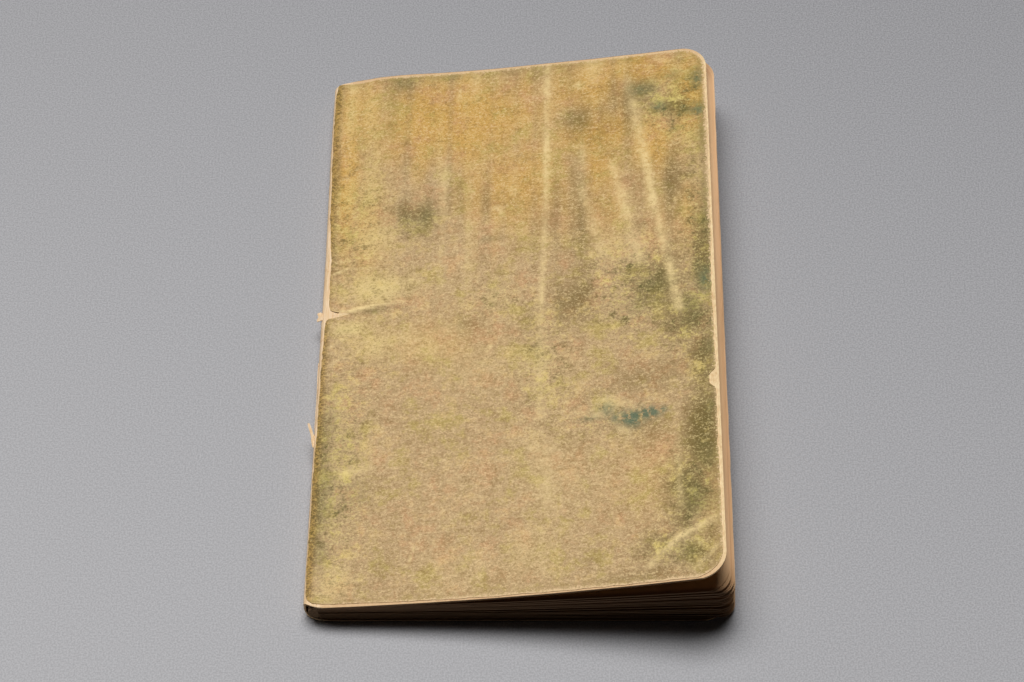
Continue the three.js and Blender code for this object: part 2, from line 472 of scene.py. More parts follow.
DARK_AREAS = [
    ((10.5, 60), (2.2, 14), 0.45),
    ((18, 30), (6, 5), 0.6),
    ((13, 70), (5, 4), 0.5),
    ((46, 70), (10, 5), 0.35),
    ((56, 54), (8, 4), 0.45),
    ((50, 26), (8, 18), 0.35),
    ((54, 20), (5, 12), 0.35),
    ((31, 34), (7, 6), 0.35),
    ((66, 58), (8, 14), 0.45),
    ((76, 34), (7, 12), 0.5),
    ((46, -1), (7, 6), 0.35),
    ((29, -2), (4, 5), 0.45),
    ((54, 1), (6, 8), 0.7),
    ((72, 5), (8, 10), 0.85),
    ((70, 61), (6, 5), 0.6),
    ((79, 56), (7, 5), 0.65),
    ((70, 69), (6, 3), 0.35),
    ((83, 46), (3, 8), 0.35),
    ((79, -6), (6, 8), 0.95),
    ((83, 12), (3.4, 14), 0.9),
    ((82, -18), (4, 9), 0.85),
    ((70, -21), (12, 6), 0.45),
    ((82, -36), (4.4, 12), 1.1),
    ((78, -52), (6, 10), 0.95),
    ((70, -34), (8, 5), 0.5),
    ((60, -24), (9, 3), 0.45),
    ((72, -64), (6, 6), 0.6),
    ((80, -67), (5, 4), 0.75),
    ((58, -66), (5, 5), 0.35),
    ((12, -64), (5, 7), 0.35),
    ((40, -50), (4, 8), 0.25),
    # Painted shadow in the groove below the crease ridge near the spine
    ((9, 3.4), (4, 1.3), 0.55),
    ((5, -13), (5, 4), 0.3),
    ((8, -46), (6, 8), 0.25),
    ((-1.2, 30), (1.1, 60), 0.35),
    ((-1, -44), (1.5, 26), 0.8),
    ((49, 69), (4, 3), 0.4),
    ((73, 18), (3, 3), 0.5),
    ((82.5, -60), (2.5, 4), 0.6),
    ((68, -71), (14, 2.5), 0.5),
    ((73, -22), (4, 3), 0.3),
    ((50, 67), (6, 6), 0.35),
    ((70, 70), (5, 3), 0.35),
    ((71, 20), (4, 5), 0.35),
    ((82.5, -62), (3, 6), 0.5),
    ((46, 55), (3, 8), 0.25),
    ((73, -24), (7, 3), 0.3),
    ((28, 0), (3, 3), 0.3),
]
GREEN_AREAS = [
    ((2, -40), (8, 34), 0.9),
    ((3, 28), (9, 22), 0.7),
    ((78, 56), (11, 13), 1),
    ((83, 5), (6, 50), 0.9),
    ((68, 4), (13, 17), 0.9),
    ((78, -8), (8, 14), 0.8),
    ((48, -14), (9, 22), 0.65),
    ((37, 4), (9, 8), 0.6),
    ((80, -52), (8, 16), 0.9),
    ((76, -65), (10, 6), 0.9),
    ((17, 28), (9, 8), 0.6),
    ((12, 8), (12, 10), 0.45),
    ((8, -10), (10, 10), 0.4),
    ((20, 71), (14, 2.5), 0.6),
    ((60, -30), (12, 8), 0.6),
    ((3, -67), (8, 6), 0.6),
    ((45, 72), (30, 2), 0.5),
]


def area_sum(s, y, areas, seed):
    """Soft patches with uneven outlines, the strongest one counting at each point."""
    found = np.zeros_like(s)
    uneven = 0.45 * wobble_grid(s, y, seed, 7.0)
    for centre, size, strength in areas:
        ds = (s - centre[0]) / size[0]
        dy = (y - centre[1]) / size[1]
        found = np.maximum(found, strength * np.exp(-(ds * ds + dy * dy) * (1 + uneven)))
    return found


def cover_tone(s, y):
    """Warmth, lightness and greenness of the front cover's colour, each about -1 to 1."""
    upper = np.clip((y + 34) / 60, 0.15, 1)
    streaks = 0.6 * wobble_grid(s, 0.04 * y, 61, 2.0) + 0.8 * wobble_grid(s, 0.05 * y, 62, 4.6)
    warm = area_sum(s, y, WARM_AREAS, 51) + 0.3 * streaks * upper
    light = area_sum(s, y, PALE_AREAS, 52) - area_sum(s, y, DARK_AREAS, 53) + 0.48 * streaks * upper
    green = area_sum(s, y, GREEN_AREAS, 54)
    return np.stack([warm.ravel(), light.ravel(), green.ravel()], axis=1)


def back_tone(s, y):
    """The back cover's own tone, rubbed and soiled in the same ways."""
    warm = 0.5 + 0.5 * wobble_grid(s, y, 55, 40.0)
    light = 0.5 * wobble_grid(s, y, 56, 22.0) + 0.3 * wobble_grid(s, 0.05 * y, 57, 3.0)
    green = np.clip(1 - outline_distance(s, y, BACK_REACH) / 14, 0, 1) + 0.4 * wobble_grid(s, y, 58, 18.0)
    return np.stack([warm.ravel(), light.ravel(), green.ravel()], axis=1)


# Creases of the front cover: (start, end, width, height)
CREASES = [
    ((-0.5, 3.3), (14.5, 5.7), 0.6, 0.34),
    ((1, 2.4), (15, 3.6), 0.9, -0.22),
    ((-1.2, 14.5), (2.6, 16.1), 0.45, 0.2),
    ((2.4, 16.1), (8, 16.3), 0.45, 0.14),
    ((-1.8, -6.8), (2.6, -3.5), 0.45, 0.22),
    ((0.2, -10.4), (3.6, -7.4), 0.45, 0.12),
    ((66, -69.5), (76, -63), 1.1, 0.16),
    ((76, -63), (84.5, -58.5), 1.1, 0.16),
    ((72, -71), (84, -63.5), 1.1, -0.14),
    ((79, -71), (84.5, -65), 0.8, 0.12),
    ((48.1, 72), (47, 2), 1.1, 0.1),
    ((47, 2), (46.7, -29), 1.3, 0.06),
    ((66, 71), (71, 40), 1.3, 0.1),
    ((71, 40), (77.6, -3), 1.2, 0.12),
    ((64, 39), (69, 12), 1.2, 0.08),
]


def cover_relief(s, y):
    """Dents and creases of the front cover, in millimetres."""
    relief = 0.10 * wobble_grid(s, y, 3, 21.0) + 0.05 * wobble_grid(s, y, 4, 8.0)
    relief = relief * np.clip(s / 8.0, 0, 1)
    for number, (start, end, width, height) in enumerate(CREASES):
        relief = relief + height * line_mark(s, y, start, end, width, 90 + number, 0.2)
    return relief


# ---------------------------------------------------------------- the wrap-around cover


WRAP_RADIUS = 3.1
BACK_START = math.pi * WRAP_RADIUS
# How far the back cover's layers run in under the fold
BACK_UNDER_FOLD = 1.3
# The fold is a squared-off half round: 1 would be a true half circle
SQUARENESS = 0.55


def wrap_point(q, level):
    """Distance s and height of the cover's path. q is 0 above the fold's axis, grows towards the fore-edge in
    front and runs backwards round the spine."""
    q = np.asarray(q, float)
    turn = np.clip(-q / WRAP_RADIUS, 0, math.pi)
    out = np.abs(np.sin(turn)) ** SQUARENESS
    up = np.sign(np.cos(turn)) * np.abs(np.cos(turn)) ** SQUARENESS
    s = np.where(q >= 0, q, -(level + SPINE_BULGE) * out)
    h = np.where(q >= 0, level, level * up)
    past = -q - math.pi * WRAP_RADIUS
    s = np.where(past > 0, past, s)
    h = np.where(past > 0, -level, h)
    return s, h


def head_bulge(s, y):
    """The fold stands out a little further towards the head."""
    return -HEAD_BULGE * np.clip((y - 20) / 30, 0, 1) * np.clip(-s / SKIN_OUTER, 0, 1)


def spine_inset(s):
    """How much the worn corners take off the height beside the spine."""
    out = np.clip(-(s - 2.5) / (2.5 + SKIN_OUTER + SPINE_BULGE), 0, 1)
    return SPINE_CORNER * (1 - np.sqrt(1 - 0.985 * out**2))


def front_grid(start, half_trim, row_step, ragged_start=None, ragged_reach=None):
    """Grids of path distance q and of y for a sheet of the front cover."""
    stops = sheet_stops(start, VISIBLE_REACH, COVER_CORNER, SKIN_STEP)
    q, v = even_grid(stops, round(2 * COVER_HALF / row_step) + 1)
    s, _ = wrap_point(q, SKIN_OUTER)
    half = COVER_HALF - corner_inset(q, VISIBLE_REACH, COVER_CORNER) - spine_inset(s)
    y = v * half
    if ragged_reach is not None:
        share = np.clip((q - (VISIBLE_REACH - REACH_FADE)) / REACH_FADE, 0, 1)
        q = q - ragged_reach(y) * share
    if ragged_start is not None:
        share = np.clip(1 - (q - start) / SPINE_FADE, 0, 1)
        q = q + ragged_start(y) * share
    if half_trim is not None:
        share = np.clip((np.abs(v) - 0.9) / 0.1, 0, 1)
        y = y - np.sign(v) * half_trim(q, np.sign(v)) * share
    return q, y


def front_points(q, y, level, relief):
    s, h = wrap_point(q, level)
    return np.stack([s + head_bulge(s, y), y, h + cover_lift(s, y) + relief], axis=2)


def outline_distance(s, y, reach=VISIBLE_REACH, half=COVER_HALF, radius=COVER_CORNER):
    """Distance in from the outline of the cover, ignoring the spine side."""
    to_reach = reach - s
    to_side = half - np.abs(y)
    corner = (to_reach < radius) & (to_side < radius)
    round_off = radius - np.hypot(radius - to_reach, radius - to_side)
    return np.where(corner, round_off, np.minimum(to_reach, to_side))


def chip(y, centre, width, depth):
    return depth * np.exp(-(((y - centre) / width) ** 4))


def front_reach_wear(y):
    """How far the skin has worn back from the fore-edge."""
    wear = 0.75 - 0.35 * np.clip(y / 40, 0, 1)
    wear = wear + 0.25 * wobble_grid(y, 0 * y, 21, 9.0) + 0.22 * wobble_grid(y, 0 * y, 22, 1.6)
    wear = wear + chip(y, -23.2, 2.1, 1.5) + chip(y, -13.5, 2.2, 0.15) + chip(y, -40.0, 1.4, 0.3)
    return np.clip(wear, 0.25, None)


def front_side_wear(q, side):
    """How far the skin has worn back from the tail and head edges. It is most near the spine."""
    wear = 0.42 + 0.16 * wobble_grid(q, 50 * side, 23, 7.0) + 0.16 * wobble_grid(q, 50 * side, 24, 1.4)
    near_spine = np.clip(1 - q / 30, 0, 1)
    at_corner = np.clip((q - 79) / 6, 0, 1) ** 2
    return np.clip(wear, 0.12, None) + 0.45 * near_spine + 0.3 * at_corner


def front_spine_edge(y):
    """Path distance of the skin's ragged edge at the spine, below zero where it is past the fold's axis."""
    places, reaches = zip(*SKIN_EDGE_AT_SPINE)
    past = np.interp(y, places, reaches)
    past = past + 0.16 * wobble_grid(y, 0 * y, 25, 5.0) + 0.20 * wobble_grid(y, 0 * y, 26, 1.3)
    share = np.clip(past / (SKIN_OUTER + SPINE_BULGE), 0, 0.97)
    round_spine = -WRAP_RADIUS * np.arcsin(share ** (1 / SQUARENESS))
    return np.where(past > 0, round_spine, -past)


def front_cover():
    """Skin, card and lining of the front cover, each one sheet from the spine to the fore-edge."""
    q, y = front_grid(0, front_side_wear, SKIN_STEP, front_spine_edge, front_reach_wear)
    s, _ = wrap_point(q, SKIN_OUTER)
    relief = cover_relief(s, y)
    edge = outline_distance(s, y)
    lift_edge = 0.05 * np.clip(1 - edge / 1.2, 0, 1)
    skin = closed_sheet(
        "front_skin",
        front_points(q, y, SKIN_INNER, relief),
        front_points(q, y, SKIN_OUTER, relief - lift_edge),
    )
    keep(skin, "edge", np.tile(edge.ravel(), 2))
    keep(skin, "marks", np.tile(cover_marks(s, y), (2, 1)))
    keep(skin, "tone", np.tile(cover_tone(s, y), (2, 1)))
    dress(skin, SKIN)

    q, y = front_grid(HINGE_S, None, BOARD_ROW_STEP)
    s, _ = wrap_point(q, SKIN_OUTER)
    relief = cover_relief(s, y)
    board = closed_sheet(
        "front_board",
        front_points(q, y, CARD_INNER, relief * 0.6),
        front_points(q, y, SKIN_INNER, relief),
    )
    dress(board, CARD)
    lining = closed_sheet(
        "front_pastedown",
        front_points(q, y, LINING_INNER, relief * 0.6),
        front_points(q, y, CARD_INNER, relief * 0.6),
    )
    dress(lining, LINING)
    for piece, node in ((skin, "front_covering"), (board, "front_card"), (lining, "front_lining")):
        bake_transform(piece)
        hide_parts(node)


def back_cover():
    """The same three layers under the leaves, flat on the floor."""
    stops = sheet_stops(BACK_START - BACK_UNDER_FOLD, BACK_START + BACK_REACH, COVER_CORNER, BACK_STEP)
    q, v = even_grid(-stops, BACK_ROWS)
    for name, inner, outer, material, slot, node, trim in (
        ("back_skin", SKIN_INNER, SKIN_OUTER, SKIN_BACK, "covering", "back_covering", 0.15),
        ("back_board", CARD_INNER, SKIN_INNER, CARD, "card", "back_card", 0.0),
        ("back_pastedown", LINING_INNER, CARD_INNER, LINING, "lining", "back_lining", 0.0),
    ):
        s, low = wrap_point(q, outer)
        _, high = wrap_point(q, inner)
        half = COVER_HALF - trim - corner_inset(s, BACK_REACH, COVER_CORNER) - spine_inset(s)
        y = v * half
        piece = closed_sheet(name, np.stack([s, y, low], axis=2), np.stack([s, y, high], axis=2))
        edge = outline_distance(s, y, BACK_REACH)
        keep(piece, "edge", np.tile(edge.ravel(), 2))
        keep(piece, "marks", np.zeros((2 * s.size, 3)))
        keep(piece, "tone", np.tile(back_tone(s, y), (2, 1)))
        dress(piece, material)
        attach(piece, "back_cover")
        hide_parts(node)


def spine():
    """The bare card and paper that the worn covering leaves showing round the fold."""
    stops = np.concatenate([[-HINGE_S], np.linspace(0, BACK_START, 40), [BACK_START + HINGE_S]])
    q, v = even_grid(-stops, SPINE_ROWS)
    for name, inner, outer, material, slot, nodes in (
        ("spine_board", CARD_INNER, SKIN_INNER, SPINE_PAPER, "card", ("spine_card", "spine_covering")),
        ("spine_lining_strip", LINING_INNER, CARD_INNER, LINING, "lining", ("spine_lining",)),
    ):
        s_out, h_out = wrap_point(q, outer)
        s_in, h_in = wrap_point(q, inner)
        half = COVER_HALF - spine_inset(s_out)
        y = v * half
        fray = 0.05 * wobble_grid(q * 6, y, 31, 3.0) + 0.04 * wobble_grid(q * 9, y, 32, 1.2)
        push = np.clip(-s_out / 2, 0, 1) * fray - head_bulge(s_out, y)
        out_lift = np.where(q > 0, cover_lift(s_out, y), 0)
        in_lift = np.where(q > 0, cover_lift(s_in, y), 0)
        out = np.stack([s_out - push, y, h_out + out_lift], axis=2)
        inside = np.stack([s_in + head_bulge(s_in, y), y, h_in + in_lift], axis=2)
        piece = closed_sheet(name, out, inside)
        dress(piece, material)
        bend_with_first_sheet(piece)
        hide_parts(*nodes)


def bend_with_first_sheet(piece):
    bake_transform(piece)


# ---------------------------------------------------------------- leaves


def sheet_level(number):
    return INNERMOST + (SHEETS - number) * SHEET_PITCH


def opening_profile(s, y):
    """How the stack's opening grows from the fold to the fore-edge, 1 at the fore-edge of the tail."""
    u = np.clip(s, 0, None) / COVER_REACH
    rise = between(COVER_RISE, y)
    curl = between(COVER_CURL, y)
    return ((rise - curl) * u + curl * u * u) / COVER_RISE[0]


def leaf_lift(place, s, y):
    """Height of a leaf above its level at the fold. Place 0 is the top leaf. Every gap stays open."""
    total = BOTTOM_LEAF_RISE + 0 * s
    for gap in range(place, LEAVES - 1):
        wave = 1 + 0.5 * wobble_grid(0.3 * s, y, 200 + gap, 26.0)
        total = total + LEAF_OPENINGS[gap] * wave
    stack = (LEAVES - place) / LEAVES
    waviness = 0.25 * stack * wobble_grid(s, y, 300, 24.0) * np.clip(s / COVER_REACH, 0, 1) ** 2
    spread = between((1.0, HEAD_SPREAD), y)
    return total * opening_profile(s, y) * spread + waviness


def leaf(place):
    """One leaf, with its own slightly uneven edges."""
    front = place < SHEETS
    number = place + 1 if front else LEAVES - place
    level = sheet_level(number) * (1 if front else -1)
    down = place / (LEAVES - 1)
    reach = LEAF_REACH_TOP + (LEAF_REACH_BOTTOM - LEAF_REACH_TOP) * down + 0.15 * math.sin(place * 2.4)
    corner = OUTERMOST_CORNER if number == 1 else LEAF_CORNER
    radius = corner + 0.4 * math.sin(place * 1.7)
    head_radius = radius + HEAD_CORNER_EXTRA * (1 - down)
    stops = sheet_stops(LEAF_START, reach, head_radius, LEAF_STEP)
    s, v = even_grid(stops, LEAF_ROWS)
    radius = np.where(v > 0, head_radius, radius)
    half = LEAF_HALF - 0.12 - 0.12 * math.sin(place * 3.1) - corner_inset(s, reach, radius)
    y = v * half
    if place < len(TOP_LEAVES_SHORT):
        short = TOP_LEAVES_SHORT[place] * between((1.0, -0.1), y)
        s = s - np.clip((s - reach + LEAF_FADE) / LEAF_FADE, 0, 1) * short
    uneven = 0.10 * (1 + wobble_grid(0 * y, y, 400 + place, 5.0))
    s = s - np.clip((s - reach + LEAF_FADE) / LEAF_FADE, 0, 1) * uneven
    lift = leaf_lift(place, s, y)
    lower = np.stack([s, y, level - PAPER / 2 + lift], axis=2)
    upper = np.stack([s, y, level + PAPER / 2 + lift], axis=2)
    side = "front" if front else "rear"
    piece = closed_sheet(f"{side}_page_{number:02d}", lower, upper)
    edge = outline_distance(s, y, reach, LEAF_HALF, radius)
    keep(piece, "edge", np.tile(edge.ravel(), 2))
    keep(piece, "leaf", np.full(2 * s.size, place / LEAVES))
    dress(piece, PAPER_MATERIAL)
    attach(piece, f"{side}_half_{number:02d}")
    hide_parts(f"{side}_leaf_{number:02d}")


def fold_strip(number):
    """The half round of one folded sheet."""
    level = sheet_level(number)
    angles = np.linspace(math.pi / 2, 3 * math.pi / 2, 15)
    a, v = even_grid(angles, FOLD_ROWS)
    y = v * (LEAF_HALF - 0.15)

    def arc(radius):
        return np.stack([radius * np.cos(a), y, radius * np.sin(a)], axis=2)

    piece = closed_sheet(f"sheet_fold_{number:02d}", arc(level + PAPER / 2), arc(level - PAPER / 2))
    keep(piece, "edge", np.full(2 * a.size, 10.0))
    keep(piece, "leaf", np.full(2 * a.size, number / LEAVES))
    dress(piece, PAPER_MATERIAL)
    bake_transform(piece)
    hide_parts(f"fold_{number:02d}")


# ---------------------------------------------------------------- sewing


def twisted_tube(name, path, radius, twist):
    """A closed tube of two plies along a path in millimetres, turned by twist from each point to the next."""
    sides = THREAD_SIDES
    path = [Vector(p) for p in path]
    points = []
    for index, point in enumerate(path):
        ahead = path[min(index + 1, len(path) - 1)] - path[max(index - 1, 0)]
        ahead.normalize()
        side = ahead.cross(Vector((0, 0, 1)))
        if side.length < 0.1:
            side = ahead.cross(Vector((1, 0, 0)))
        side.normalize()
        up = side.cross(ahead)
        for k in range(sides):
            angle = 2 * math.pi * k / sides
            ply = 1 - 0.22 * abs(math.sin(angle - twist * index))
            points.append(point + radius * ply * (math.cos(angle) * side + math.sin(angle) * up))
    faces = []
    for index in range(len(path) - 1):
        for k in range(sides):
            a = index * sides + k
            b = index * sides + (k + 1) % sides
            faces.append((a, b, b + sides, a + sides))
    faces.append(tuple(range(sides - 1, -1, -1)))
    last = (len(path) - 1) * sides
    faces.append(tuple(range(last, last + sides)))
    shift = Vector((FOLD.x, 0, FOLD.z))
    return smooth_piece(name, [tuple(p * MM + shift) for p in points], faces)


def thread():
    """A long stitch inside the fold, and the same thread coming back outside the sheets."""
    outside = -(sheet_level(1) + PAPER / 2 + THREAD_RADIUS + 0.03)
    length = 2 * STITCH_REACH
    steps = 90
    crossing = 5
    path = [(0, -STITCH_REACH + length * k / steps, 0) for k in range(steps + 1)]
    path += [(outside * k / crossing, STITCH_REACH, 0) for k in range(1, crossing + 1)]
    path += [(outside, STITCH_REACH - length * k / steps, 0) for k in range(1, steps + 1)]
    path += [(outside * (1 - k / crossing), -STITCH_REACH, 0) for k in range(1, crossing)]
    piece = twisted_tube("thread", path, THREAD_RADIUS, 0.9)
    dress(piece, THREAD)
    bend_with_first_sheet(piece)
    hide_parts("sewing_thread")


# ---------------------------------------------------------------- torn bits of the spine


def sliver(name, root, tip, width, thickness, lift):
    """A thin torn strip from root to tip, wide at the root and frayed to a point."""
    rows = np.linspace(0, 1, 14)
    across = np.linspace(-1, 1, 5)
    t, c = np.meshgrid(rows, across, indexing="ij")
    root = np.array(root, float)
    tip = np.array(tip, float)
    along = tip - root
    side = np.cross(along, [0, 0, 1.0])
    side = side / np.linalg.norm(side)
    taper = width * (1 - 0.75 * t**0.7) * (1 + 0.2 * np.sin(9 * t))
    centre = root + t[..., None] * along
    spread = centre + side * (c * taper)[..., None]
    spread[..., 2] += lift * np.sin(math.pi * t * 0.8)
    lower = spread.copy()
    lower[..., 2] -= thickness
    piece = closed_sheet(name, spread, lower)
    dress(piece, SPINE_PAPER)
    bend_with_first_sheet(piece)


def torn_bits():
    sliver("torn_flap", (-2.7, -31.5, 1.5), (-4.6, -25.9, 2.2), 0.75, 0.12, 0.25)
    sliver("torn_corner", (-3.0, 2.4, 2.1), (-3.85, 4.4, 2.0), 1.3, 0.16, 0.25)
    sliver("split_edge", (-3.1, -27.0, 1.0), (-3.35, -9.0, 1.3), 0.22, 0.1, 0.05)


# ---------------------------------------------------------------- materials


class Graph:
    """A small helper around a material's node tree."""

    def __init__(self, name):
        self.material = bpy.data.materials.new(name)
        self.material.use_nodes = True
        self.tree = self.material.node_tree
        self.tree.nodes.clear()
        self.surface = self.add("ShaderNodeBsdfPrincipled")
        output = self.add("ShaderNodeOutputMaterial")
        self.tree.links.new(self.surface.outputs["BSDF"], output.inputs["Surface"])

    def add(self, kind, **settings):
        made = self.tree.nodes.new(kind)
        for key, value in settings.items():
            setattr(made, key, value)
        return made

    def put(self, socket, value):
        if isinstance(value, bpy.types.NodeSocket):
            self.tree.links.new(value, socket)
        else:
            socket.default_value = value

    def attribute(self, name, output="Vector"):
        return self.add("ShaderNodeAttribute", attribute_name=name).outputs[output]

    def math(self, operation, first, second=0.0, clamp=False):
        made = self.add("ShaderNodeMath", operation=operation, use_clamp=clamp)
        self.put(made.inputs[0], first)
        self.put(made.inputs[1], second)
        return made.outputs[0]

    def times(self, first, second, clamp=False):
        return self.math("MULTIPLY", first, second, clamp)

    def plus(self, first, second):
        return self.math("ADD", first, second)

    def scaled(self, vector, scale):
        made = self.add("ShaderNodeVectorMath", operation="MULTIPLY")
        self.put(made.inputs[0], vector)
        made.inputs[1].default_value = scale
        return made.outputs[0]

    def moved(self, vector, distance):
        """The same place shifted, so that two noises don't fall together."""
        made = self.add("ShaderNodeVectorMath", operation="ADD")
        self.put(made.inputs[0], vector)
        made.inputs[1].default_value = (distance, distance, distance)
        return made.outputs[0]

    def noise(self, vector, scale, detail=3.0, roughness=0.55, distortion=0.0):
        made = self.add("ShaderNodeTexNoise")
        self.put(made.inputs["Vector"], vector)
        made.inputs["Scale"].default_value = scale
        made.inputs["Detail"].default_value = detail
        made.inputs["Roughness"].default_value = roughness
        made.inputs["Distortion"].default_value = distortion
        return made.outputs["Fac"]

    def cells(self, vector, scale):
        made = self.add("ShaderNodeTexVoronoi", feature="SMOOTH_F1")
        self.put(made.inputs["Vector"], vector)
        made.inputs["Scale"].default_value = scale
        return made.outputs["Distance"]

    def span(self, value, low, high, to_low=0.0, to_high=1.0):
        made = self.add("ShaderNodeMapRange", interpolation_type="SMOOTHSTEP")
        self.put(made.inputs["Value"], value)
        made.inputs["From Min"].default_value = low
        made.inputs["From Max"].default_value = high
        made.inputs["To Min"].default_value = to_low
        made.inputs["To Max"].default_value = to_high
        return made.outputs["Result"]

    def mix(self, factor, first, second):
        made = self.add("ShaderNodeMix", data_type="RGBA", blend_type="MIX")
        self.put(made.inputs["Factor"], factor)
        self.put(made.inputs["A"], first if isinstance(first, bpy.types.NodeSocket) else (*first, 1))
        self.put(made.inputs["B"], second if isinstance(second, bpy.types.NodeSocket) else (*second, 1))
        return made.outputs["Result"]

    def bump(self, height, distance):
        """The normal for bumps of a height from 0 to 1, which stands for a distance in metres."""
        made = self.add("ShaderNodeBump")
        made.inputs["Distance"].default_value = distance
        self.put(made.inputs["Height"], height)
        return made.outputs["Normal"]

    def split(self, vector):
        made = self.add("ShaderNodeSeparateXYZ")
        self.put(made.inputs[0], vector)
        return made.outputs

    def finish(self, colour, roughness, normal, specular, sheen=0.0):
        self.put(self.surface.inputs["Base Color"], colour)
        self.put(self.surface.inputs["Roughness"], roughness)
        self.put(self.surface.inputs["Specular IOR Level"], specular)
        self.put(self.surface.inputs["Sheen Weight"], sheen)
        self.put(self.surface.inputs["Normal"], normal)
        return self.material


def rgb(red, green, blue):
    """A screen colour, 0 to 255, as linear light."""
    linear = []
    for value in (red, green, blue):
        value = value / 255
        linear.append(value / 12.92 if value <= 0.04045 else ((value + 0.055) / 1.055) ** 2.4)
    return tuple(linear)


CREAM = rgb(232, 200, 154)
# Brown toning mixed with painted shade, for the shaded gap under the cover
TONING_AND_SHADE = rgb(118, 82, 50)
# Dark brown painted shade for the very ends of the leaves, the card and the spine paper
END_SHADE = rgb(70, 44, 32)


def skin_material(name, worn):
    """Thin coloured covering: ochre turning olive, pebbled, rubbed pale along creases and edges."""
    g = Graph(name)
    place = g.attribute("rest")
    edge = g.attribute("edge", "Fac")
    marks = g.split(g.attribute("marks"))
    warm, light, green = g.split(g.attribute("tone"))
    axes = g.split(place)
    greenness = g.span(green, 0.05, 0.95)

    # broad colour: pinkish tan, golden where warm, with drifts of pink and of yellow-green
    colour = g.mix(g.span(warm, 0.0, 1.0), rgb(190, 160, 117), rgb(208, 163, 82))
    drift = g.noise(g.moved(place, 31.0), 0.13, 5.0, 0.74)
    colour = g.mix(g.span(drift, 0.50, 0.68, 0.0, 0.60), colour, rgb(204, 153, 108))
    colour = g.mix(g.span(drift, 0.50, 0.34, 0.0, 0.65), colour, rgb(186, 165, 86))
    colour = g.mix(g.span(light, 0.0, 1.1), colour, rgb(230, 204, 138))
    colour = g.mix(g.span(light, 0.0, -1.1), colour, rgb(112, 94, 44))

    # mottling from 6 mm down to 1 mm, stronger where the cover is green
    broad = g.noise(place, 0.17, 4.0, 0.72)
    middle = g.noise(g.moved(place, 12.0), 0.46, 4.0, 0.78)
    mottle = g.plus(g.times(broad, 0.45), g.times(middle, 0.55))
    strength = g.plus(g.times(greenness, 0.52), 0.42)
    pale_spot = g.mix(greenness, rgb(228, 194, 130), rgb(220, 198, 114))
    dark_spot = g.mix(greenness, rgb(146, 114, 64), rgb(96, 88, 42))
    colour = g.mix(g.times(g.span(mottle, 0.50, 0.64), strength), colour, pale_spot)
    colour = g.mix(g.times(g.span(mottle, 0.50, 0.36), strength), colour, dark_spot)

    # fine pebbled grain, slightly drawn out across the cover, with faint ribs
    grain_place = g.scaled(place, (0.9, 1.15, 1.0))
    fine = g.noise(grain_place, 1.5, 3.0, 0.78, 0.4)
    fleck = g.noise(g.moved(grain_place, 5.0), 3.0, 2.0, 0.6)
    rib = g.noise(g.scaled(place, (0.22, 1.15, 1.0)), 1.1, 2.0, 0.6)
    grain = g.plus(g.times(fine, 0.52), g.times(fleck, 0.34))
    grain = g.plus(grain, g.times(rib, 0.14))
    bright = g.span(grain, 0.505, 0.60)
    dark = g.span(grain, 0.495, 0.40)
    pale_fleck = g.mix(greenness, rgb(236, 206, 152), rgb(228, 208, 136))
    dark_fleck = g.mix(greenness, rgb(136, 106, 56), rgb(98, 88, 38))
    colour = g.mix(g.times(bright, 0.56), colour, pale_fleck)
    colour = g.mix(g.times(dark, 0.50), colour, dark_fleck)

    # dirt gathered beside the spine and round the edges
    spine_band = g.times(g.span(axes[0], -0.6, -2.2), g.span(mottle, 0.32, 0.46))
    band_colour = g.mix(g.span(grain, 0.45, 0.56), rgb(104, 82, 32), rgb(180, 142, 66))
    colour = g.mix(g.times(spine_band, 0.75 * worn), colour, band_colour)
    rim = g.times(g.span(edge, 3.2, 0.8), g.span(mottle, 0.44, 0.56))
    colour = g.mix(g.times(rim, 0.40), colour, rgb(134, 112, 46))

    # stains, and a painted shadow below one crease
    grey = g.times(marks[1], g.span(middle, 0.30, 0.56))
    colour = g.mix(g.times(grey, 0.58), colour, rgb(94, 98, 52))
    blue = g.times(marks[2], g.span(g.noise(place, 0.85, 4.0, 0.7), 0.34, 0.52), clamp=True)
    colour = g.mix(g.times(blue, 0.78), colour, rgb(64, 100, 80))

    # rubbed pale
    broken = g.span(g.noise(g.moved(place, 44.0), 0.75, 4.0, 0.8), 0.26, 0.58)
    rub = g.times(marks[0], broken, clamp=True)
    colour = g.mix(g.times(rub, 0.82), colour, rgb(244, 217, 156))
    ragged = g.plus(edge, g.times(g.math("SUBTRACT", fine, 0.5), 4.0))
    bare = g.times(g.span(ragged, 1.15, 0.5), worn)
    colour = g.mix(g.times(bare, 0.85), colour, CREAM)

    height = g.plus(grain, g.times(g.cells(grain_place, 1.5), 0.3))
    normal = g.bump(height, 0.00011)
    roughness = g.span(grain, 0.3, 0.7, 0.80, 0.60)
    return g.finish(colour, roughness, normal, specular=0.25, sheen=0.03)


def tinted_ends(g, colour, start, full, amount, tint):
    """Tints what is near the tail and the head, from a start to a full distance from the middle."""
    along = g.math("ABSOLUTE", g.split(g.attribute("rest"))[1])
    return g.mix(g.span(along, start, full, 0.0, amount), colour, tint)


def card_material():
    """Cream card with a layered, slightly hairy edge."""
    g = Graph("card")
    place = g.attribute("rest")
    layers = g.noise(g.scaled(place, (0.6, 0.6, 9.0)), 1.4, 3.0, 0.6)
    soil = g.noise(place, 0.35, 4.0, 0.6)
    colour = g.mix(g.span(layers, 0.35, 0.65), rgb(230, 198, 150), rgb(244, 218, 172))
    colour = g.mix(g.span(soil, 0.52, 0.75, 0.0, 0.6), colour, rgb(198, 156, 104))
    colour = tinted_ends(g, colour, 68.0, 72.0, 0.55, rgb(206, 164, 124))
    # Painted shade: the card's very ends at the tail and head are darkened dark brown
    colour = tinted_ends(g, colour, 72.86, 73.0, 0.8, END_SHADE)
    normal = g.bump(layers, 0.00006)
    return g.finish(colour, 0.85, normal, specular=0.2)


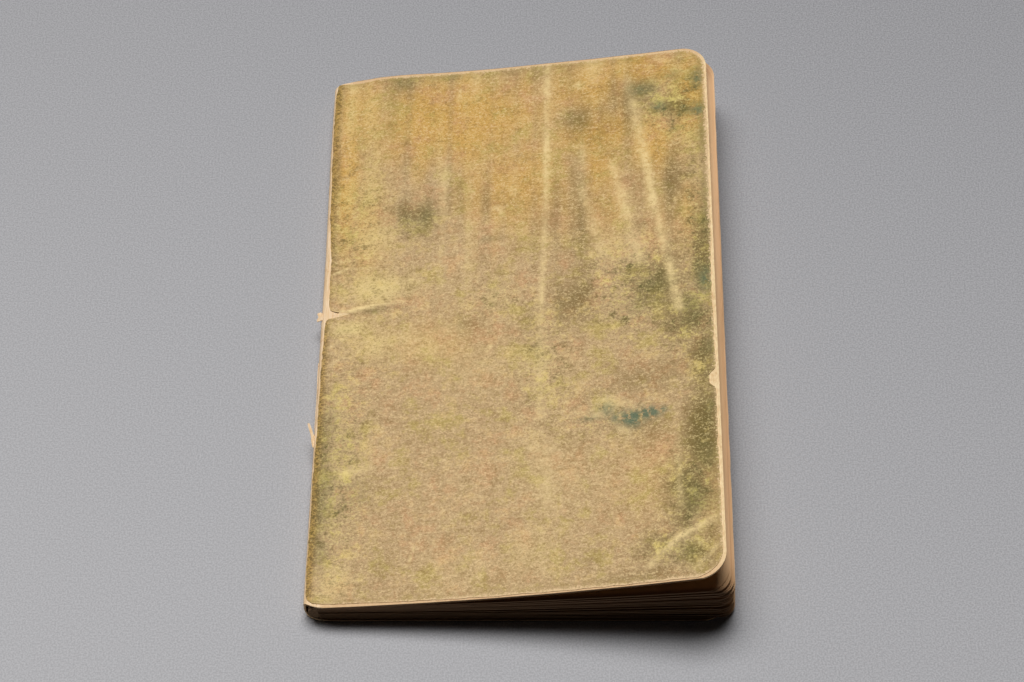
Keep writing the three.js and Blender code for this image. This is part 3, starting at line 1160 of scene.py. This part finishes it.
def spine_paper_material():
    """Bare paper round the fold: cream with long fibres and lines where layers have split."""
    g = Graph("spine_paper")
    place = g.attribute("rest")
    fibres = g.noise(g.scaled(place, (2.6, 0.12, 2.6)), 1.6, 4.0, 0.65)
    spots = g.noise(place, 0.5, 4.0, 0.65)
    colour = g.mix(g.span(fibres, 0.40, 0.60), rgb(232, 196, 150), rgb(246, 218, 182))
    colour = g.mix(g.span(fibres, 0.36, 0.28), colour, rgb(150, 104, 62))
    colour = g.mix(g.span(spots, 0.58, 0.76, 0.0, 0.7), colour, rgb(204, 156, 104))
    # Painted shade: the very ends at the tail and head are darkened dark brown
    colour = tinted_ends(g, colour, 72.7, 73.0, 0.8, END_SHADE)
    normal = g.bump(fibres, 0.00012)
    return g.finish(colour, 0.88, normal, specular=0.15)


def paper_material(name, edge_colour, face_colour):
    """Aged paper, browner towards its edges, with painted shade darkening it near the tail and the head."""
    g = Graph(name)
    place = g.attribute("rest")
    edge = g.attribute("edge", "Fac")
    leaf_number = g.attribute("leaf", "Fac")
    tone = g.noise(place, 0.05, 4.0, 0.6)
    fibre = g.noise(g.scaled(place, (1.0, 1.0, 3.0)), 1.1, 5.0, 0.7)
    colour = g.mix(g.span(tone, 0.30, 0.75), face_colour, rgb(216, 181, 134))
    toned = g.span(g.plus(edge, g.times(tone, 6.0)), 12.0, 2.0)
    colour = g.mix(g.times(toned, 0.75), colour, edge_colour)
    colour = g.mix(g.span(edge, 1.3, 0.6, 0.0, 0.30), colour, rgb(176, 116, 72))
    # Painted highlight: a light rim along each leaf's very edge
    colour = g.mix(g.span(edge, 0.45, 0.1, 0.0, 0.75), colour, rgb(246, 206, 160))
    # Per-leaf tone, strong enough that it also paints a dark shadow line between leaves
    shade = g.math("SUBTRACT", g.noise(g.times(leaf_number, 90.0), 1.0, 1.0), 0.5)
    colour = g.mix(g.span(shade, -0.1, 0.2, 0.0, 0.45), colour, rgb(178, 126, 84))
    foxing = g.span(g.noise(place, 0.16, 6.0, 0.7), 0.66, 0.74)
    colour = g.mix(g.times(foxing, 0.35), colour, rgb(150, 98, 52))
    # Brown toning mixed with painted shade, darkening the leaves towards the tail and head
    colour = tinted_ends(g, colour, 63.0, 72.0, 0.50, TONING_AND_SHADE)
    # Painted shade: each leaf is darkened dark brown near its ends at the tail and head
    colour = tinted_ends(g, colour, 71.3, 72.45, 0.55, END_SHADE)
    normal = g.bump(fibre, 0.00004)
    return g.finish(colour, 0.82, normal, specular=0.2)


def lining_material():
    g = Graph("lining")
    place = g.attribute("rest")
    tone = g.noise(place, 0.06, 5.0, 0.6)
    fibre = g.noise(place, 1.3, 5.0, 0.7)
    colour = g.mix(g.span(tone, 0.35, 0.65), rgb(206, 170, 120), rgb(184, 142, 92))
    colour = g.mix(g.span(fibre, 0.5, 0.8), colour, rgb(222, 192, 146))
    # Brown toning mixed with painted shade, darkening the lining towards the tail and head
    colour = tinted_ends(g, colour, 60.0, 72.5, 0.65, TONING_AND_SHADE)
    normal = g.bump(fibre, 0.00004)
    return g.finish(colour, 0.85, normal, specular=0.2)


def thread_material():
    g = Graph("thread")
    place = g.attribute("rest")
    ply = g.noise(g.scaled(place, (3.0, 1.5, 3.0)), 3.0, 2.0, 0.5)
    colour = g.mix(ply, rgb(196, 172, 128), rgb(232, 214, 176))
    normal = g.bump(ply, 0.00005)
    return g.finish(colour, 0.8, normal, specular=0.2, sheen=0.3)


def floor_material():
    """Plain grey card, with painted light making it a little lighter towards the near left corner of the
    view.
    """
    g = Graph("floor")
    place = g.add("ShaderNodeTexCoord").outputs["Object"]
    axes = g.split(place)
    tooth = g.noise(place, 2600.0, 3.0, 0.6)
    colour = g.mix(g.span(tooth, 0.35, 0.65), rgb(134, 134, 138), rgb(162, 162, 166))
    # Painted light: the card is lighter towards the near side and towards the left
    nearer = g.times(g.span(axes[1], 0.25, -0.17), 0.65)
    lighter = g.plus(nearer, g.span(axes[0], 0.2, -0.2, 0.0, 0.35))
    colour = g.mix(g.times(lighter, 0.23), colour, rgb(255, 254, 255))
    return g.finish(colour, 0.9, g.bump(tooth, 0.00003), specular=0.1)


SKIN = skin_material("cover_cloth", 1.0)
SKIN_BACK = skin_material("cover_cloth_back", 0.8)
CARD = card_material()
LINING = lining_material()
SPINE_PAPER = spine_paper_material()
PAPER_MATERIAL = paper_material("leaf_paper", rgb(252, 208, 160), rgb(232, 200, 156))
THREAD = thread_material()


# ---------------------------------------------------------------- stage


def floor():
    far = 3.0
    corners = [(-far, -far, 0), (far, -far, 0), (far, far, 0), (-far, far, 0)]
    mesh = bpy.data.meshes.new("floor")
    mesh.from_pydata(corners, [], [(0, 1, 2, 3)])
    mesh.materials.append(floor_material())
    linked("floor", mesh)


def light(name, place, target, size, power, spread, colour):
    data = bpy.data.lights.new(name, "AREA")
    data.shape = "RECTANGLE"
    data.size, data.size_y = size
    data.energy = power
    data.spread = math.radians(spread)
    data.color = colour
    lamp = linked(name, data)
    lamp.location = place
    lamp.rotation_euler = (Vector(target) - Vector(place)).to_track_quat("-Z", "Y").to_euler()


def world():
    made = bpy.data.worlds.new("studio")
    made.use_nodes = True
    background = made.node_tree.nodes["Background"]
    background.inputs["Color"].default_value = (0.95, 0.97, 1.0, 1)
    background.inputs["Strength"].default_value = 0.008
    bpy.context.scene.world = made
    bpy.context.scene.view_settings.view_transform = "Standard"


def camera():
    down, turn, roll = (math.radians(a) for a in (CAMERA_DOWN, CAMERA_TURN, CAMERA_ROLL))
    ahead = Vector((math.sin(turn) * math.cos(down), math.cos(turn) * math.cos(down), -math.sin(down)))
    level_right = Vector((math.cos(turn), -math.sin(turn), 0))
    level_down = ahead.cross(level_right)
    right = math.cos(roll) * level_right + math.sin(roll) * level_down
    below = -math.sin(roll) * level_right + math.cos(roll) * level_down
    data = bpy.data.cameras.new("camera")
    data.lens = CAMERA_LENS
    data.sensor_width = CAMERA_SENSOR
    data.clip_start = 0.01
    made = linked("camera", data)
    turned = Matrix((right, -below, -ahead)).transposed().to_4x4()
    place = FOLD + Vector(CAMERA_FROM_FOLD) * MM
    made.matrix_world = Matrix.Translation(place) @ turned
    bpy.context.scene.camera = made


camera()
world()
floor()
light("key", (-0.32, 0.66, 1.95), (-0.12, -0.25, 0), (1.9, 0.85), 10.1, 66, (1.0, 0.995, 0.985))

front_cover()
back_cover()
spine()
torn_bits()
for leaf_place in range(LEAVES):
    leaf(leaf_place)
for sheet_number in range(1, SHEETS + 1):
    fold_strip(sheet_number)
thread()
